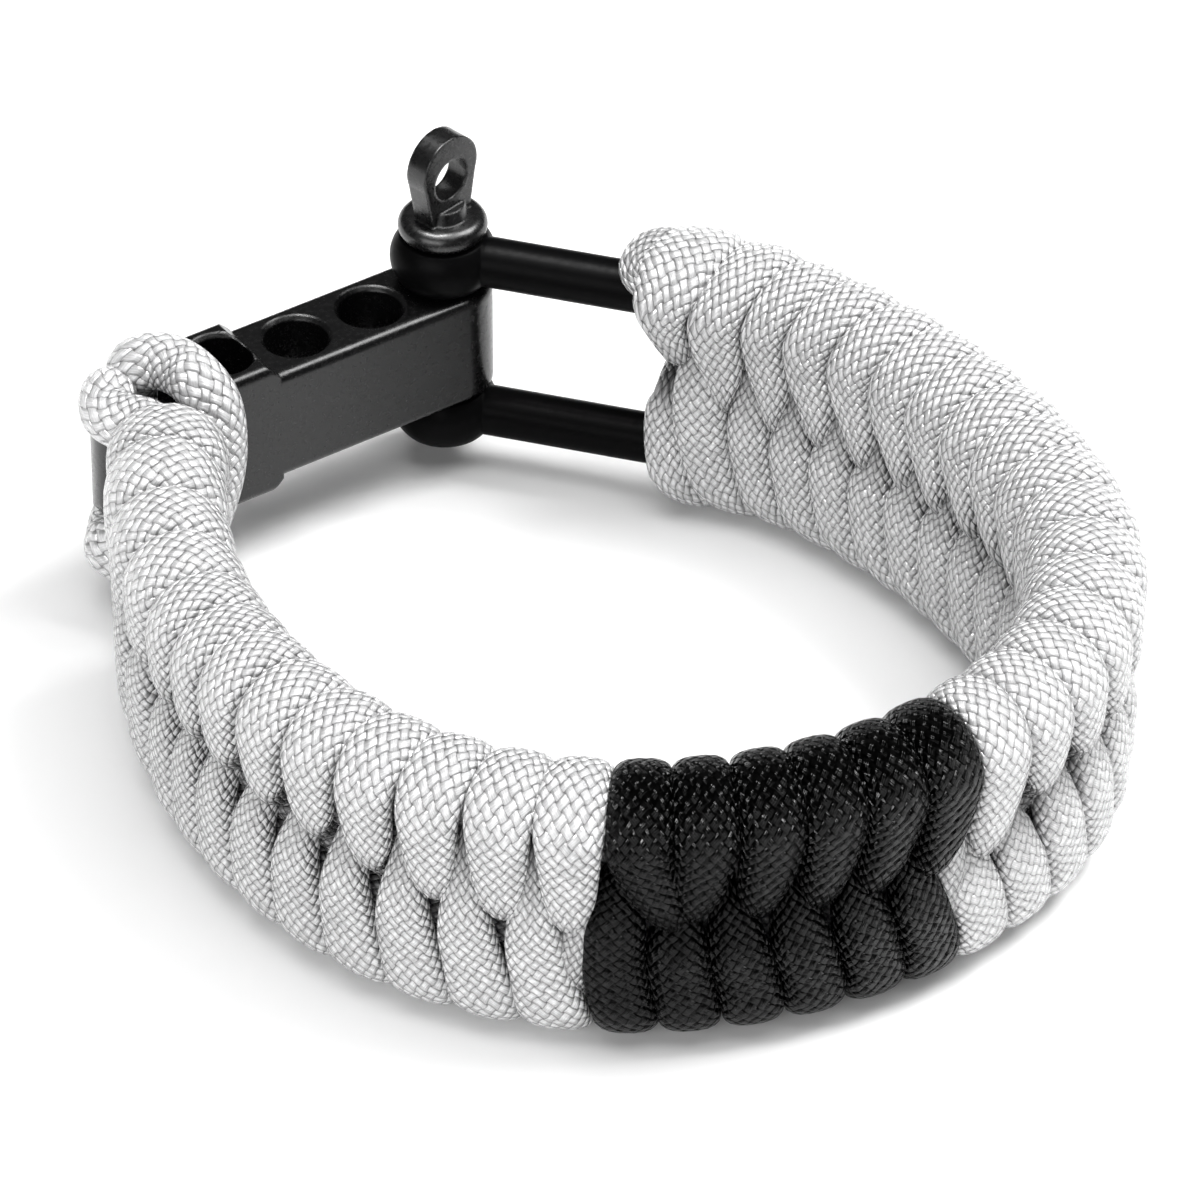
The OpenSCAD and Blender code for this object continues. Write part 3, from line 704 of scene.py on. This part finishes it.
def metal_material(name, look):
    g = Nodes(name)
    grain = g.noise(GRAIN_SCALE, 3.0)
    broad = g.noise(BROAD_SCALE, 2.0)
    cells = g.new("TexVoronoi")
    cells.inputs["Scale"].default_value = PIT_SCALE
    g.link(g.place(), cells.inputs["Vector"])
    pit = g.ramp(cells.outputs["Distance"], PIT_LO, PIT_HI)
    height = g.add(g.times(grain, GRAIN_HEIGHT), g.times(pit, look.pits))
    rounded = g.new("Bevel")
    rounded.samples = EDGE_SAMPLES
    rounded.inputs["Radius"].default_value = ROUNDED_EDGE
    smoothest, roughest = look.roughness - ROUGHNESS_SPREAD, look.roughness + ROUGHNESS_SPREAD
    roughness = g.ramp(grain, GRAIN_LO, GRAIN_HI, smoothest, roughest, "LINEAR")
    g.set(Base_Color=g.colour(broad, *METAL_COLOURS), Roughness=roughness, Specular_IOR_Level=look.specular,
          Normal=g.bump(height, METAL_BUMP, METAL_RELIEF, rounded.outputs[0]))
    return g.material


def floor_material():
    g = Nodes("pale_floor")
    g.set(Base_Color=(0.98, 0.98, 0.98, 1.0), Roughness=0.9, Specular_IOR_Level=0.1)
    return g.material


MATERIALS = {"light_cord": braid_material("light_braid", BRAIDS["light_cord"]),
             "dark_cord": braid_material("dark_braid", BRAIDS["dark_cord"])}
wind(MATERIALS)
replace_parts(cords(MATERIALS), "core_cords")
for node, look in METALS.items():
    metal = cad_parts[node].data.materials
    metal.clear()
    metal.append(metal_material("satin_black_" + node, look))

# Camera, with its place in millimetres
CAMERA_PLACE = (-0.469, -503.43, 404.48)
CAMERA_FORWARD = (0, 0.78801, -0.61566)   # level to the sides, and 38 degrees down
LENS, SENSOR = 279.2, 36


def look_from(obj, place, forward):
    obj.location = place
    obj.rotation_mode = "QUATERNION"
    obj.rotation_quaternion = Vector(forward).to_track_quat("-Z", "Y")


camera = bpy.data.objects.new("camera", bpy.data.cameras.new("camera"))
bpy.context.scene.collection.objects.link(camera)
camera.data.sensor_width = SENSOR
camera.data.lens = LENS
camera.data.clip_start, camera.data.clip_end = 0.01, 20
look_from(camera, [v * MM for v in CAMERA_PLACE], CAMERA_FORWARD)
bpy.context.scene.camera = camera

# Floor
FLOOR = 3.0   # half its width, in metres
floor_mesh = bpy.data.meshes.new("floor")
floor_mesh.from_pydata([(-FLOOR, -FLOOR, 0), (FLOOR, -FLOOR, 0), (FLOOR, FLOOR, 0), (-FLOOR, FLOOR, 0)], [],
                       [(0, 1, 2, 3)])
floor_mesh.materials.append(floor_material())
floor = bpy.data.objects.new("floor", floor_mesh)
bpy.context.scene.collection.objects.link(floor)

# The studio's walls are dim, so that level metal looks black
WALLS = 0.1
world = bpy.data.worlds.new("studio")
world.use_nodes = True
background = world.node_tree.nodes["Background"]
background.inputs["Color"].default_value = (1, 1, 1, 1)
background.inputs["Strength"].default_value = WALLS
bpy.context.scene.world = world
bpy.context.scene.view_settings.view_transform = "Standard"

# Lights, all aimed at the band, with places and sizes in metres. The glint light is the bright middle
# of the top softbox, which only reflections show
Softbox = namedtuple("Softbox", "name place size power diffuse")
SOFTBOXES = [Softbox("key_light", (0.45, 0.15, 0.7), (0.4, 0.4), 7.2, True),
             Softbox("top_light", (0, -0.08, 0.9), (0.9, 0.8), 7, True),
             Softbox("front_light", (-0.4, -0.8, 0.4), (0.9, 0.5), 5.4, True),
             Softbox("glint_light", (-0.12, 0.1, 0.8), (0.3, 0.3), 10, False)]
AIM = (0, 0, 0.01)

for box in SOFTBOXES:
    light = bpy.data.lights.new(box.name, "AREA")
    light.shape = "RECTANGLE"
    light.size, light.size_y = box.size
    light.energy = box.power
    lamp = bpy.data.objects.new(box.name, light)
    bpy.context.scene.collection.objects.link(lamp)
    look_from(lamp, box.place, [b - a for a, b in zip(box.place, AIM)])
    lamp.visible_diffuse = box.diffuse
